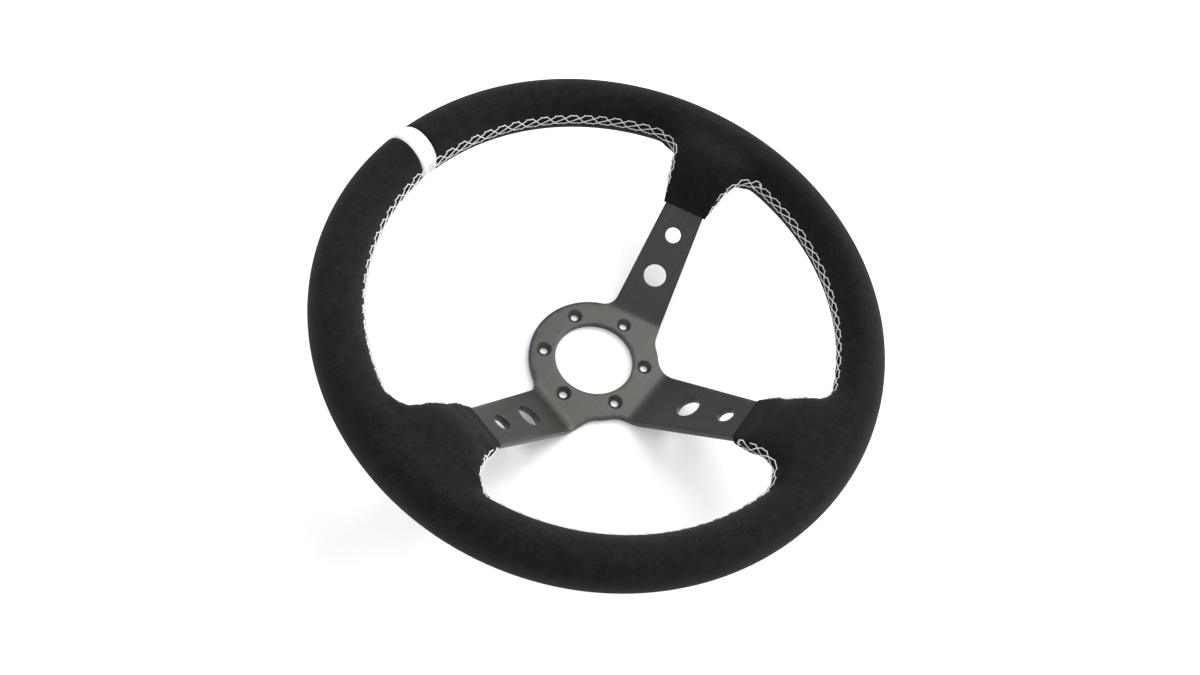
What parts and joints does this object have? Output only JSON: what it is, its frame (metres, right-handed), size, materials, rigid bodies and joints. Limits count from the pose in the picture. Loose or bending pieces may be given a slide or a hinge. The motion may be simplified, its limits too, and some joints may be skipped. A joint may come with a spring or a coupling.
{
  "type": "steering wheel",
  "caption": "Deep-dish motorsport steering wheel: suede rim with cross-stitched seam and centre marker on a bent, drilled three-spoke plate.",
  "frame": {"origin": "centre of the hub's mounting face, on the steering axis", "axes": "+Z along the steering axis towards the driver, +Y towards the 12 o'clock marker, +X to the driver's right"},
  "size_m": [0.35, 0.35, 0.0962],
  "materials": {
    "anodised_plate": "black anodised, straight brushed grain",
    "core_metal": "mill finish",
    "rivet_metal": "plain steel",
    "foam": "moulded polyurethane foam, matt",
    "suede": "black suede with a fine nap",
    "marker_leather": "smooth white leather",
    "thread": "thick white sewing thread"
  },
  "bodies": {
    "root": {"spoke_plate": "anodised_plate", "rim_core_ring": "core_metal", "foam_grip": "foam", "suede_cover": "suede", "centre_marker": "marker_leather", "rivet_right_1": "rivet_metal", "rivet_right_2": "rivet_metal", "rivet_right_3": "rivet_metal", "rivet_left_1": "rivet_metal", "rivet_left_2": "rivet_metal", "rivet_left_3": "rivet_metal", "rivet_bottom_1": "rivet_metal", "rivet_bottom_2": "rivet_metal", "rivet_bottom_3": "rivet_metal", "seam_thread_top": "thread", "seam_thread_lower_left": "thread", "seam_thread_lower_right": "thread"}
  },
  "joints": []
}
